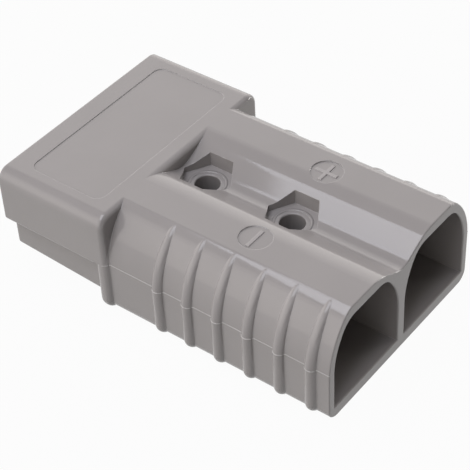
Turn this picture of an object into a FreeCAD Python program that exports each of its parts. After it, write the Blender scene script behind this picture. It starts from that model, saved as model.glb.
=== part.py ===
"""Genderless two-pole battery connector half, drawn as a parametric document.

The housing is one moulding. Its hood covers the upper half of the mating end and its tongue is the
lower half, so that an identical connector turned upside down closes over it. Behind the collar the
body is two arches side by side, with grip ribs down both sides and a cable port under each arch.
Two silver-plated contacts with crimp barrels lie inside, each on a stainless leaf spring.

Millimetres. X runs from the mating end (-X) to the cable end (+X), the positive pole is at +Y, and
the connector rests on Z = 0 with the origin in the middle of its underside.
"""
import FreeCAD, Part
import math
import os

import Sketcher

SIZES = (
    ("total_length", 109.2, "mating face to cable end"),
    ("hood_width", 69.0, "over the sides of the hood"),
    ("total_height", 33.4, "underside to the top of hood and arches"),
    ("hood_length", 37.2, "mating face to the rear of the hood"),
    ("hood_wall", 3.1, "side wall of the hood"),
    ("hood_roof", 2.4, "roof of the hood"),
    ("hood_corner", 3.8, "rounding along the top of the hood's sides"),
    ("hood_rear_rounding", 1.5, "rounding of the hood's and the collar's rear edges"),
    ("collar_thickness", 4.0, "collar that the other half's hood stops against"),
    ("collar_corner", 2.0, "rounding of the collar's front edges"),
    ("edge_clearance", 0.3, "hood's lower edge to the plane where the halves meet"),
    ("wall_clearance", 0.2, "tongue's walls to the plane where the halves meet"),
    ("face_clearance", 0.1, "contact blade to the plane where the halves meet"),
    ("mating_clearance", 0.3, "tongue to the inside of the other half's hood"),
    ("tip_gap", 1.0, "tongue's front to the rear wall inside the other half's hood"),
    ("cavity_corner", 2.0, "upper corners inside the hood"),
    ("tongue_edge", 1.4, "rounding along the tongue's lower edges"),
    ("lead_in", 0.8, "rounding of the tongue's front edges"),
    ("tongue_floor", 3.8, "floor of the tongue under the contacts, at its root"),
    ("tongue_rise", 1.9, "how much higher the tongue's underside is at its front"),
    ("trough_width", 23.0, "open trough for a contact in the tongue"),
    ("lip_wall", 2.2, "front lip of a trough"),
    ("lip_height", 10.2, "top of a trough's front lip"),
    ("lower_corner", 3.6, "rounding along the underside's long edges"),
    ("side_wall", 2.4, "side wall of a cable port"),
    ("web_wall", 3.2, "wall between the cable ports"),
    ("knee_drop", 1.5, "parting line to where the body's sides start to curve in"),
    ("arch_shoulder_reach", 9.8, "side of the body to the outer edge of an arch's flat top"),
    ("arch_shoulder_radius", 7.4, "shoulder of the arch beside its flat top"),
    ("arch_edge_slope", 15.0, "degrees of the shoulder where the flat top ends"),
    ("valley_edge", 14.0, "centre plane to the inner edge of an arch's flat top"),
    ("valley_brow_radius", 13.4, "rounding from the flat top into the valley"),
    ("valley_foot_radius", 7.2, "hollow at the bottom of the valley"),
    ("valley_depth", 4.6, "flat top to the lowest line of the valley"),
    ("rib_count", 6, "ribs on each side"),
    ("rib_front_margin", 17.0, "rear of the hood to the first rib's crest"),
    ("rib_rear_margin", 5.7, "last rib's crest to the cable end"),
    ("rib_height", 1.5, "rib's crest over the side of the body"),
    ("rib_crest_radius", 1.75, "rounded crest of a rib"),
    ("rib_root_radius", 0.4, "hollow at either root of a rib"),
    ("rib_slope", 72.0, "degrees of a flank at its steepest"),
    ("rib_foot_slope", 15.0, "degrees of a flank where it meets the body"),
    ("rib_foot_run", 0.6, "length of the flank's buried foot"),
    ("rib_sunk", 1.6, "how deep a rib's back lies inside the body"),
    ("rib_fade", 0.7, "edge of the flat top to where a rib dies out"),
    ("rib_shoulder_radius", 6.2, "rib's crest line over the shoulder"),
    ("rib_lower_corner", 4.2, "rib's crest line round the lower edge"),
    ("rib_lower_sink", 0.3, "underside to the lower end of a rib's crest line"),
    ("rib_upper_sink", 0.05, "flat top to the upper end of a rib's crest line"),
    ("port_floor", 3.7, "floor under a cable port"),
    ("port_step", 0.9, "port's floor to the floor under a barrel"),
    ("port_roof_wall", 3.3, "roof over a cable port"),
    ("port_knee_drop", 1.5, "parting line to the top of the port's upright walls"),
    ("port_shoulder_radius", 6.2, "upper corners of a cable port"),
    ("port_roof_reach", 9.0, "side of a cable port to the edge of its flat roof"),
    ("bulkhead_wall", 6.8, "wall between the hood's cavity and the barrel chambers"),
    ("barrel_clearance", 0.7, "barrel to the side of its chamber"),
    ("barrel_recess", 2.0, "mouth of the barrel to the step of the cable port"),
    ("slot_clearance", 1.2, "blade's upper face to the top of its slot"),
    ("bolt_hole_width", 7.1, "diameter of the two mounting holes"),
    ("bolt_first", 45.8, "mating face to the first mounting hole"),
    ("bolt_pitch", 28.7, "between the mounting holes"),
    ("nut_pocket_flats", 13.8, "across the flats of a nut pocket"),
    ("nut_pocket_depth", 6.6, "flat top to the floor of a nut pocket"),
    ("label_setback", 6.5, "mating face to the label recess"),
    ("label_rear_margin", 5.5, "label recess to the rear of the hood"),
    ("label_side_margin", 6.3, "label recess to the side of the hood"),
    ("label_corner", 3.0, "corners of the label recess"),
    ("label_depth", 0.2, "label recess"),
    ("disc_depth", 0.35, "polarity discs"),
    ("disc_width", 9.3, "diameter of a polarity disc"),
    ("rim_rounding", 0.35, "outer edge of the cable end"),
    ("port_edge", 0.4, "inner edge of a cable port"),
    ("mouth_edge", 0.6, "front edges of the hood"),
    ("hole_edge", 0.4, "edges of the mounting holes"),
    ("blade_side_clearance", 0.5, "blade to the side of its slot"),
    ("blade_thickness", 4.4, "contact blade"),
    ("blade_setback", 3.2, "mating face to the tip of the blade"),
    ("blade_root", 3.0, "length of the blade inside the barrel's closed end"),
    ("nose_radius", 7.0, "rolled tip of the blade"),
    ("catch_height", 0.7, "raised catch behind the tip"),
    ("catch_radius", 2.4, "crest of the catch"),
    ("catch_root_radius", 1.6, "hollow at either root of the catch"),
    ("catch_setback", 14.0, "mating face to the crest of the catch"),
    ("barrel_width", 19.0, "outside diameter of the crimp barrel"),
    ("barrel_length", 44.0, "crimp barrel"),
    ("barrel_bore", 14.2, "bore of the crimp barrel"),
    ("barrel_bore_depth", 34.0, "depth of the bore"),
    ("barrel_shoulder", 3.0, "bevel at the barrel's closed end"),
    ("barrel_lead_in", 0.6, "bevel at the mouth of the bore"),
    ("seat_gap", 0.2, "between a contact and what it lies on"),
    ("spring_width", 14.0, "leaf spring"),
    ("spring_thickness", 1.0, "leaf spring"),
    ("spring_front", 8.2, "mating face to the spring's front foot"),
    ("spring_rear_gap", 0.8, "spring's rear foot to the barrel chamber"),
    ("spring_foot", 5.0, "flat foot at each end of the spring"),
    ("spring_foot_bend", 4.0, "bend between a foot and the bow of the spring"),
)

DERIVED = (
    ("insertion_depth", "hood_length - collar_thickness", "how far the other half's hood reaches"),
    ("hood_depth", "insertion_depth + tip_gap", "depth of the cavity in the hood"),
    ("hood_edge_height", "total_height / 2 + edge_clearance", "hood's lower edge and the parting line"),
    ("knee_height", "hood_edge_height - knee_drop", "top of the upright sides"),
    ("trough_wall_height", "total_height / 2 - wall_clearance", "top of the tongue's walls"),
    ("blade_face_height", "total_height / 2 - face_clearance", "upper face of the blade"),
    ("tongue_bottom", "hood_roof + mating_clearance", "underside of the tongue"),
    ("trough_floor", "tongue_bottom + tongue_floor", "what the springs stand on"),
    ("body_width", "hood_width - 2 * rib_height", "over the body between the ribs"),
    ("arch_edge", "body_width / 2 - arch_shoulder_reach", "centre plane to the flat top's outer edge"),
    ("valley_height", "total_height - valley_depth", "lowest line of the valley"),
    ("rib_first", "hood_length + rib_front_margin", "mating face to the first rib's crest"),
    ("rib_pitch", "(total_length - rib_rear_margin - rib_first) / (rib_count - 1)", "from rib to rib"),
    ("rib_back", "rib_height + rib_sunk", "depth of a rib from its crest to its back"),
    ("rib_top_edge", "arch_edge - rib_fade", "centre plane to where a rib dies out"),
    ("port_width", "body_width / 2 - side_wall - web_wall / 2", "inside a cable port"),
    ("port_flat", "port_width - 2 * port_roof_reach", "width of the flat roof of a cable port"),
    ("pole_pitch", "port_width + web_wall", "between the centre lines of the poles"),
    ("port_roof_height", "total_height - port_roof_wall", "top of a cable port"),
    ("port_side_height", "hood_edge_height - port_knee_drop", "top of the port's upright walls"),
    ("chamber_width", "barrel_width + 2 * barrel_clearance", "chamber for a crimp barrel"),
    ("chamber_front", "hood_depth + bulkhead_wall", "mating face to a barrel chamber"),
    ("chamber_length", "seat_gap + barrel_length + barrel_recess", "barrel chamber"),
    ("port_depth", "total_length - chamber_front - chamber_length", "cable port"),
    ("barrel_front", "chamber_front + seat_gap", "mating face to the barrel's closed end"),
    ("chamber_floor", "port_floor + port_step", "floor under a barrel"),
    ("barrel_height", "chamber_floor + seat_gap + barrel_width / 2", "centre line of a barrel"),
    ("slot_height", "blade_face_height + slot_clearance", "top of the slot that a blade passes"),
    ("blade_width", "chamber_width - 2 * blade_side_clearance", "contact blade"),
    ("nut_pocket_floor", "total_height - nut_pocket_depth", "floor of a nut pocket"),
    ("label_length", "hood_length - label_setback - label_rear_margin", "along the connector"),
    ("label_width", "hood_width - 2 * label_side_margin", "across the connector"),
    ("spring_length", "chamber_front - spring_front - spring_rear_gap", "leaf spring over its feet"),
)

doc = FreeCAD.newDocument("genderless_power_connector")
sheet = doc.addObject("Spreadsheet::Sheet", "sizes")
for row, (alias, value, note) in enumerate(SIZES, 1):
    sheet.set(f"A{row}", note)
    sheet.set(f"B{row}", str(value))
    sheet.setAlias(f"B{row}", alias)
for row, (alias, formula, note) in enumerate(DERIVED, len(SIZES) + 1):
    sheet.set(f"A{row}", note)
    sheet.setAlias(f"B{row}", alias)
    sheet.set(f"B{row}", f"={formula}")
doc.recompute()
size = {alias: float(sheet.get(alias)) for alias, value, note in SIZES + DERIVED}

FRONT = "-sizes.total_length / 2"
REAR = "sizes.total_length / 2"
front = -size["total_length"] / 2
rear = size["total_length"] / 2


def new_body(name):
    """A body whose label names its file."""
    body = doc.addObject("PartDesign::Body", name)
    body.Label = name
    return body


def origin_plane(body, role):
    """One of a body's own origin planes."""
    return next(plane for plane in body.Origin.OriginFeatures if plane.Role == role)


class Outline:
    """A sketch on an origin plane whose lines and arcs are held by named dimensions."""

    def __init__(self, body, name, role, offset=None):
        self.sketch = body.newObject("Sketcher::SketchObject", name)
        self.sketch.AttachmentSupport = [(origin_plane(body, role), "")]
        self.sketch.MapMode = "FlatFace"
        if offset:
            self.sketch.setExpression("AttachmentOffset.Base.z", offset)
        self.last = None

    def line(self, start, end, kind=None):
        """A line that joins the piece before it; kind is Horizontal or Vertical."""
        a = FreeCAD.Vector(start[0], start[1], 0)
        b = FreeCAD.Vector(end[0], end[1], 0)
        index = self.sketch.addGeometry(Part.LineSegment(a, b), False)
        if kind:
            self.sketch.addConstraint(Sketcher.Constraint(kind, index))
        return self.join(index, 1, 2)

    def arc(self, centre, start, end, turn, smooth=True):
        """An arc from start to end about centre; turn is 1 anticlockwise, -1 clockwise."""
        if turn < 0:
            start, end = end, start
        first = math.atan2(start[1] - centre[1], start[0] - centre[0])
        final = math.atan2(end[1] - centre[1], end[0] - centre[0])
        if final <= first:
            final += 2 * math.pi
        radius = math.hypot(start[0] - centre[0], start[1] - centre[1])
        circle = Part.Circle(FreeCAD.Vector(centre[0], centre[1], 0), FreeCAD.Vector(0, 0, 1), radius)
        index = self.sketch.addGeometry(Part.ArcOfCircle(circle, first, final), False)
        if turn > 0:
            return self.join(index, 1, 2, smooth)
        return self.join(index, 2, 1, smooth)

    def join(self, index, entry, leave, smooth=False):
        """Tie a piece to the one before it, tangent where either of them is smooth."""
        if self.last is None:
            self.first = (index, entry)
        else:
            kind = "Tangent" if smooth or self.last[2] else "Coincident"
            self.sketch.addConstraint(Sketcher.Constraint(kind, self.last[0], self.last[1], index, entry))
        self.last = (index, leave, smooth)
        return index

    def close(self, kind="Coincident"):
        """Tie the last piece to the first."""
        self.sketch.addConstraint(Sketcher.Constraint(kind, self.last[0], self.last[1], *self.first))
        self.last = None

    def break_smooth(self):
        """Let the next joint be a corner."""
        self.last = (self.last[0], self.last[1], False)

    def measure(self, constraint, expression):
        """Add a dimension and bind it to the sheet."""
        index = self.sketch.addConstraint(constraint)
        name = f"size{index}"
        self.sketch.renameConstraint(index, name)
        self.sketch.setExpression(f"Constraints.{name}", expression)

    def hold(self, piece, position, x=None, y=None):
        """Place a point of a piece at a distance from the sketch's origin."""
        point = self.sketch.getPoint(piece, position)
        if x == "0":
            self.sketch.addConstraint(Sketcher.Constraint("PointOnObject", piece, position, -2))
        elif x:
            self.measure(Sketcher.Constraint("DistanceX", -1, 1, piece, position, point.x), x)
        if y == "0":
            self.sketch.addConstraint(Sketcher.Constraint("PointOnObject", piece, position, -1))
        elif y:
            self.measure(Sketcher.Constraint("DistanceY", -1, 1, piece, position, point.y), y)

    def radius(self, piece, expression):
        """Bind the radius of an arc or circle."""
        value = self.sketch.Geometry[piece].Radius
        self.measure(Sketcher.Constraint("Radius", piece, value), expression)

    def plate(self, x, y, guess, lower=None, upper=None):
        """A rectangle between pairs of expressions, with its lower or upper corners rounded."""
        x0, y0, x1, y1 = guess
        low = size[lower] if lower else 0
        high = size[upper] if upper else 0
        bottom = self.line((x0 + low, y0), (x1 - low, y0), "Horizontal")
        bends = []
        if lower:
            bends.append((self.arc((x1 - low, y0 + low), (x1 - low, y0), (x1, y0 + low), 1), lower))
        right = self.line((x1, y0 + low), (x1, y1 - high), "Vertical")
        if upper:
            bends.append((self.arc((x1 - high, y1 - high), (x1, y1 - high), (x1 - high, y1), 1), upper))
        top = self.line((x1 - high, y1), (x0 + high, y1), "Horizontal")
        if upper:
            bends.append((self.arc((x0 + high, y1 - high), (x0 + high, y1), (x0, y1 - high), 1), upper))
        left = self.line((x0, y1 - high), (x0, y0 + low), "Vertical")
        if lower:
            bends.append((self.arc((x0 + low, y0 + low), (x0, y0 + low), (x0 + low, y0), 1), lower))
        self.close("Tangent" if lower else "Coincident")
        self.hold(left, 1, x[0])
        self.hold(right, 1, x[1])
        self.hold(bottom, 1, None, y[0])
        self.hold(top, 1, None, y[1])
        for bend, radius in bends:
            self.radius(bend, f"sizes.{radius}")

    def circle(self, x, y, diameter, guess):
        """A circle at a pair of expressions; guess is its rough centre and radius."""
        centre = FreeCAD.Vector(guess[0], guess[1], 0)
        index = self.sketch.addGeometry(Part.Circle(centre, FreeCAD.Vector(0, 0, 1), guess[2]), False)
        self.hold(index, 3, x, y)
        self.radius(index, f"({diameter}) / 2")


def along_from(centre, radius, toward):
    """The point of a circle in the direction of another point."""
    dx = toward[0] - centre[0]
    dy = toward[1] - centre[1]
    apart = math.hypot(dx, dy)
    return (centre[0] + radius * dx / apart, centre[1] + radius * dy / apart)


def add(body, kind, name, profile, length=None, back=False):
    """A pad or pocket of an outline; back turns it round."""
    feature = body.newObject(f"PartDesign::{kind}", name)
    feature.Profile = profile.sketch
    feature.Reversed = back
    if length:
        feature.setExpression("Length", length)
    else:
        feature.Type = "ThroughAll"
    profile.sketch.Visibility = False
    doc.recompute()
    return feature


def mirror_sides(body, name, features):
    """The same features on the other side of the centre plane."""
    mirrored = body.newObject("PartDesign::Mirrored", name)
    mirrored.Originals = features
    mirrored.MirrorPlane = (origin_plane(body, "XZ_Plane"), [""])
    body.Tip = mirrored
    doc.recompute()
    return mirrored


def round_edges(body, name, expression, keep):
    """Round the edges of the tip that a test picks."""
    base = body.Tip
    picked = [f"Edge{i}" for i, edge in enumerate(base.Shape.Edges, 1) if keep(edge.BoundBox)]
    if not picked:
        raise RuntimeError(f"{name} found no edge")
    fillet = body.newObject("PartDesign::Fillet", name)
    fillet.Base = (base, picked)
    fillet.setExpression("Radius", expression)
    body.Tip = fillet
    doc.recompute()
    return fillet


def near(value, target, within=0.05):
    return abs(value - target) < within


housing = new_body("housing")


def body_half():
    """Half of the body's section: side, shoulder, flat top of the arch and half of the valley."""
    half = size["body_width"] / 2
    high = size["total_height"]
    corner = size["lower_corner"]
    side = size["knee_height"]
    edge = (size["arch_edge"], high)
    short = size["arch_shoulder_radius"]
    slope = math.radians(size["arch_edge_slope"])
    shoulder_centre = (edge[0] - short * math.sin(slope), high - short * math.cos(slope))
    across = half - shoulder_centre[0]
    above = shoulder_centre[1] - side
    long = (across ** 2 + above ** 2 - short ** 2) / (2 * (across - short))
    side_centre = (half - long, side)
    shoulder = along_from(side_centre, long, shoulder_centre)
    brow = size["valley_brow_radius"]
    foot = size["valley_foot_radius"]
    brow_centre = (size["valley_edge"], high - brow)
    foot_centre = (0.0, size["valley_height"] + foot)
    drop = high - size["valley_height"] - brow - foot
    reach = math.hypot(drop, size["valley_edge"])
    slope = math.acos(-(brow + foot) / reach) - math.atan2(size["valley_edge"], drop)
    brow_end = (brow_centre[0] - brow * math.sin(slope), brow_centre[1] + brow * math.cos(slope))
    foot_start = (foot * math.sin(slope), foot_centre[1] - foot * math.cos(slope))

    section = section_at("body_section", "sizes.insertion_depth")
    base = section.line((0, 0), (half - corner, 0), "Horizontal")
    lower = section.arc((half - corner, corner), (half - corner, 0), (half, corner), 1)
    upright = section.line((half, corner), (half, side), "Vertical")
    section.arc(side_centre, (half, side), shoulder, 1)
    short_curve = section.arc(shoulder_centre, shoulder, edge, 1)
    section.break_smooth()
    top = section.line(edge, (size["valley_edge"], high), "Horizontal")
    into = section.arc(brow_centre, (size["valley_edge"], high), brow_end, 1)
    section.line(brow_end, foot_start)
    hollow = section.arc(foot_centre, foot_start, (0, size["valley_height"]), -1)
    section.break_smooth()
    section.line((0, size["valley_height"]), (0, 0), "Vertical")
    section.close()
    section.hold(base, 1, "0", "0")
    section.hold(upright, 2, half_of("body_width"), "sizes.knee_height")
    section.radius(lower, "sizes.lower_corner")
    section.hold(
        short_curve,
        3,
        "sizes.arch_edge - sizes.arch_shoulder_radius * sin(sizes.arch_edge_slope)",
        "sizes.total_height - sizes.arch_shoulder_radius * cos(sizes.arch_edge_slope)",
    )
    section.hold(top, 1, "sizes.arch_edge", "sizes.total_height")
    section.hold(top, 2, "sizes.valley_edge")
    section.radius(into, "sizes.valley_brow_radius")
    section.radius(hollow, "sizes.valley_foot_radius")
    section.hold(hollow, 3, "0")
    section.hold(hollow, 1, None, "sizes.valley_height")
    return section


def half_of(alias):
    return f"sizes.{alias} / 2"


def section_at(name, setback):
    """An outline across the connector, at a distance from the mating face."""
    return Outline(housing, name, "YZ_Plane", f"{FRONT} + {setback}")


def shell_plate(name, setback, bottom, lower):
    """The outline of the hood, or of the whole collar, across the connector."""
    plate = section_at(name, setback)
    half = size["hood_width"] / 2
    foot = size[bottom] if bottom else 0.0
    plate.plate(
        (f"-{half_of('hood_width')}", half_of("hood_width")),
        (f"sizes.{bottom}" if bottom else "0", "sizes.total_height"),
        (-half, foot, half, size["total_height"]),
        lower,
        "hood_corner",
    )
    return plate


collar = add(
    housing,
    "Pad",
    "collar",
    shell_plate("collar_section", "sizes.insertion_depth", None, "rib_lower_corner"),
    "sizes.hood_length - sizes.insertion_depth",
)
hood = add(housing, "Pad", "hood", shell_plate("hood_section", "0", "hood_edge_height", None), "sizes.hood_length")
hood_rear = front + size["hood_length"]
round_edges(
    housing,
    "hood_rear_edge",
    "sizes.hood_rear_rounding",
    lambda box: near(box.XMin, hood_rear) and near(box.XMax, hood_rear) and box.ZMax > 0.5,
)
half_pad = add(housing, "Pad", "arch", body_half(), "sizes.total_length - sizes.insertion_depth")
mirror_sides(housing, "both_arches", [half_pad])
round_edges(
    housing,
    "cable_end_edge",
    "sizes.rim_rounding",
    lambda box: near(box.XMin, rear) and near(box.XMax, rear),
)


def rib_section(name, setback, crest, rear_only=False):
    """The section of a rib at the underside, with its crest down and its flanks hollowed."""
    start = f"({half_of('hood_width')} - sizes.rib_lower_corner)"
    outline = Outline(housing, name, "XZ_Plane", f"-{start}")
    low = size["rib_lower_sink"]
    top = size["rib_crest_radius"]
    root = size["rib_root_radius"]
    steep = math.radians(size["rib_slope"])
    shallow = math.radians(size["rib_foot_slope"])
    run = size["rib_foot_run"]
    swing = (top + root) * math.sin(steep)
    depth = low + top - (top + root) * math.cos(steep)
    turn_x = top * math.sin(steep)
    turn_y = low + top - top * math.cos(steep)
    foot_x = swing - root * math.sin(shallow)
    foot_y = depth + root * math.cos(shallow)
    end_x = foot_x + run * math.cos(shallow)
    end_y = foot_y + run * math.sin(shallow)
    back = low + size["rib_back"]
    crest_start = (crest, low) if rear_only else (crest - turn_x, turn_y)
    crest_arc = outline.arc((crest, low + top), crest_start, (crest + turn_x, turn_y), 1)
    roots = [outline.arc((crest + swing, depth), (crest + turn_x, turn_y), (crest + foot_x, foot_y), -1)]
    feet = [outline.line((crest + foot_x, foot_y), (crest + end_x, end_y))]
    outline.line((crest + end_x, end_y), (crest + end_x, back), "Vertical")
    if rear_only:
        inside = outline.line((crest + end_x, back), (crest, back), "Horizontal")
        outline.line((crest, back), (crest, low), "Vertical")
        outline.close()
    else:
        inside = outline.line((crest + end_x, back), (crest - end_x, back), "Horizontal")
        outline.line((crest - end_x, back), (crest - end_x, end_y), "Vertical")
        feet.append(outline.line((crest - end_x, end_y), (crest - foot_x, foot_y)))
        roots.append(outline.arc((crest - swing, depth), (crest - foot_x, foot_y), (crest - turn_x, turn_y), -1))
        outline.close("Tangent")
    middle = f"({FRONT} + {setback})"
    reach = "(sizes.rib_crest_radius + sizes.rib_root_radius) * sin(sizes.rib_slope)"
    outline.hold(crest_arc, 3, middle, "sizes.rib_lower_sink + sizes.rib_crest_radius")
    outline.radius(crest_arc, "sizes.rib_crest_radius")
    if rear_only:
        outline.sketch.addConstraint(Sketcher.Constraint("Vertical", crest_arc, 3, crest_arc, 1))
    for root_arc, foot, sign in zip(roots, feet, (1, -1)):
        outline.radius(root_arc, "sizes.rib_root_radius")
        outline.hold(root_arc, 3, f"{middle} + {sign} * {reach}")
        angle = Sketcher.Constraint("Angle", foot, sign * shallow)
        outline.measure(angle, f"{sign} * sizes.rib_foot_slope * 1 deg")
        outline.measure(Sketcher.Constraint("Distance", foot, run), "sizes.rib_foot_run")
    outline.hold(inside, 1, None, "sizes.rib_lower_sink + sizes.rib_back")
    return outline


def rib_path(name, setback):
    """The line that a rib's crest follows: round the lower edge, up the side and over the shoulder."""
    wide = size["hood_width"] / 2
    corner = size["rib_lower_corner"]
    low = size["rib_lower_sink"]
    level = size["knee_height"]
    high = size["total_height"] - size["rib_upper_sink"]
    short = size["rib_shoulder_radius"]
    short_centre = (size["rib_top_edge"], high - short)
    across = wide - short_centre[0]
    above = short_centre[1] - level
    long = (across ** 2 + above ** 2 - short ** 2) / (2 * (across - short))
    long_centre = (wide - long, level)
    meeting = along_from(long_centre, long, short_centre)
    path = section_at(name, setback)
    lower = path.arc((wide - corner, low + corner), (wide - corner, low), (wide, low + corner), 1)
    upright = path.line((wide, low + corner), (wide, level), "Vertical")
    path.arc(long_centre, (wide, level), meeting, 1)
    shoulder = path.arc(short_centre, meeting, (short_centre[0], high), 1)
    path.radius(lower, "sizes.rib_lower_corner")
    path.hold(lower, 1, None, "sizes.rib_lower_sink")
    path.sketch.addConstraint(Sketcher.Constraint("Vertical", lower, 3, lower, 1))
    path.hold(upright, 2, half_of("hood_width"), "sizes.knee_height")
    path.radius(shoulder, "sizes.rib_shoulder_radius")
    path.hold(shoulder, 2, "sizes.rib_top_edge", "sizes.total_height - sizes.rib_upper_sink")
    path.sketch.addConstraint(Sketcher.Constraint("Vertical", shoulder, 3, shoulder, 2))
    return path


def rib(name, setback, crest, rear_only=False):
    """One rib at +Y, swept along the outline of the body."""
    section = rib_section(f"{name}_section", setback, crest, rear_only)
    path = rib_path(f"{name}_path", setback)
    doc.recompute()
    sweep = housing.newObject("PartDesign::AdditivePipe", name)
    sweep.Profile = section.sketch
    sweep.Spine = (path.sketch, [])
    doc.recompute()
    return sweep


def both_rows(first_rib):
    """The rib repeated along the body and on its other side."""
    rows = doc.addObject("PartDesign::MultiTransform", "ribs")
    rows.Originals = [first_rib]
    housing.addObject(rows)
    across = doc.addObject("PartDesign::Mirrored", "ribs_across")
    across.MirrorPlane = (origin_plane(housing, "XZ_Plane"), [""])
    housing.addObject(across)
    along = doc.addObject("PartDesign::LinearPattern", "ribs_along")
    along.Direction = (origin_plane(housing, "X_Axis"), [""])
    along.setExpression("Length", "sizes.rib_pitch * (sizes.rib_count - 1)")
    along.setExpression("Occurrences", "sizes.rib_count")
    housing.addObject(along)
    rows.Transformations = [across, along]
    housing.Tip = rows
    doc.recompute()


def tongue_section():
    """The tongue, as wide and as deep as the other half's hood lets in."""
    half = f"({half_of('hood_width')} - sizes.hood_wall - sizes.mating_clearance)"
    half_guess = size["hood_width"] / 2 - size["hood_wall"] - size["mating_clearance"]
    plate = section_at("tongue_section", "0")
    plate.plate(
        (f"-{half}", half),
        ("sizes.tongue_bottom", "sizes.trough_wall_height"),
        (-half_guess, size["tongue_bottom"], half_guess, size["trough_wall_height"]),
    )
    return plate


def tongue_taper():
    """The wedge that is taken off the tongue's underside toward its front."""
    root = (front + size["insertion_depth"], size["tongue_bottom"])
    far = front - size["insertion_depth"]
    high = size["tongue_bottom"] + 2 * size["tongue_rise"]
    low = size["tongue_bottom"] - size["tongue_rise"]
    outline = Outline(housing, "tongue_taper_outline", "XZ_Plane")
    sides = [
        outline.line(root, (far, high)),
        outline.line((far, high), (far, low)),
        outline.line((far, low), root),
    ]
    outline.close()
    outline.hold(sides[0], 1, f"{FRONT} + sizes.insertion_depth", "sizes.tongue_bottom")
    outline.hold(sides[1], 1, f"{FRONT} - sizes.insertion_depth", "sizes.tongue_bottom + 2 * sizes.tongue_rise")
    outline.hold(sides[2], 1, f"{FRONT} - sizes.insertion_depth", "sizes.tongue_bottom - sizes.tongue_rise")
    return outline


POLE = half_of("pole_pitch")
pole = size["pole_pitch"] / 2

add(housing, "Pad", "tongue", tongue_section(), "sizes.insertion_depth + 0.5 * sizes.hood_wall")
taper = housing.newObject("PartDesign::Pocket", "tongue_taper")
taper.Profile = tongue_taper().sketch
taper.Type = "ThroughAll"
taper.Midplane = True
doc.recompute()
round_edges(
    housing,
    "tongue_lower_edges",
    "sizes.tongue_edge",
    lambda box: near(box.XMin, front) and box.YLength < 0.05 and box.XLength > 1 and box.ZMin < size["trough_floor"],
)
round_edges(
    housing,
    "tongue_front_edge",
    "sizes.lead_in",
    lambda box: near(box.XMax, front) and box.ZMax < size["trough_wall_height"] + 0.05,
)


def cavity_section():
    """The open space under the hood that takes the other half's tongue."""
    half = f"({half_of('hood_width')} - sizes.hood_wall)"
    half_guess = size["hood_width"] / 2 - size["hood_wall"]
    plate = section_at("hood_cavity_section", "0")
    plate.plate(
        (f"-{half}", half),
        ("sizes.trough_wall_height", "sizes.total_height - sizes.hood_roof"),
        (-half_guess, size["trough_wall_height"], half_guess, size["total_height"] - size["hood_roof"]),
        None,
        "cavity_corner",
    )
    return plate


add(housing, "Pocket", "hood_cavity", cavity_section(), "sizes.hood_depth", back=True)


def pole_plate(name, setback, width, bottom, top):
    """A rectangle on the centre line of the positive pole."""
    plate = section_at(name, setback)
    half = size[width] / 2
    plate.plate(
        (f"{POLE} - {half_of(width)}", f"{POLE} + {half_of(width)}"),
        (bottom[0], top[0]),
        (pole - half, bottom[1], pole + half, top[1]),
    )
    return plate


def chamber_section():
    """The round-topped chamber of a crimp barrel."""
    half = size["chamber_width"] / 2
    floor = size["chamber_floor"]
    centre = size["barrel_height"]
    outline = section_at("barrel_chamber_section", "sizes.chamber_front + sizes.chamber_length")
    base = outline.line((pole - half, floor), (pole + half, floor), "Horizontal")
    outline.line((pole + half, floor), (pole + half, centre), "Vertical")
    crown = outline.arc((pole, centre), (pole + half, centre), (pole - half, centre), 1)
    outline.line((pole - half, centre), (pole - half, floor), "Vertical")
    outline.close()
    outline.hold(base, 1, f"{POLE} - {half_of('chamber_width')}", "sizes.chamber_floor")
    outline.hold(base, 2, f"{POLE} + {half_of('chamber_width')}")
    outline.hold(crown, 3, None, "sizes.barrel_height")
    return outline


def port_section():
    """The arched cable port: upright walls, long curves and a flat roof."""
    half = size["port_width"] / 2
    flat = size["port_flat"] / 2
    floor = size["port_floor"]
    roof = size["port_roof_height"]
    level = size["port_side_height"]
    short = size["port_shoulder_radius"]
    across = half - flat
    above = roof - short - level
    long = (across ** 2 + above ** 2 - short ** 2) / (2 * (across - short))
    outline = section_at("cable_port_section", "sizes.total_length")
    base = outline.line((pole - half, floor), (pole + half, floor), "Horizontal")
    right = outline.line((pole + half, floor), (pole + half, level), "Vertical")
    right_long = (pole + half - long, level)
    right_short = (pole + flat, roof - short)
    meeting = along_from(right_long, long, right_short)
    outline.arc(right_long, (pole + half, level), meeting, 1)
    right_bend = outline.arc(right_short, meeting, (pole + flat, roof), 1)
    crown = outline.line((pole + flat, roof), (pole - flat, roof), "Horizontal")
    left_long = (pole - half + long, level)
    left_short = (pole - flat, roof - short)
    meeting = along_from(left_long, long, left_short)
    left_bend = outline.arc(left_short, (pole - flat, roof), meeting, 1)
    outline.arc(left_long, meeting, (pole - half, level), 1)
    left = outline.line((pole - half, level), (pole - half, floor), "Vertical")
    outline.close()
    outline.hold(base, 1, f"{POLE} - {half_of('port_width')}", "sizes.port_floor")
    outline.hold(base, 2, f"{POLE} + {half_of('port_width')}")
    outline.hold(right, 2, None, "sizes.port_side_height")
    outline.hold(left, 1, None, "sizes.port_side_height")
    outline.radius(right_bend, "sizes.port_shoulder_radius")
    outline.radius(left_bend, "sizes.port_shoulder_radius")
    outline.hold(crown, 1, f"{POLE} + {half_of('port_flat')}", "sizes.port_roof_height")
    outline.hold(crown, 2, f"{POLE} - {half_of('port_flat')}")
    return outline


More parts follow.
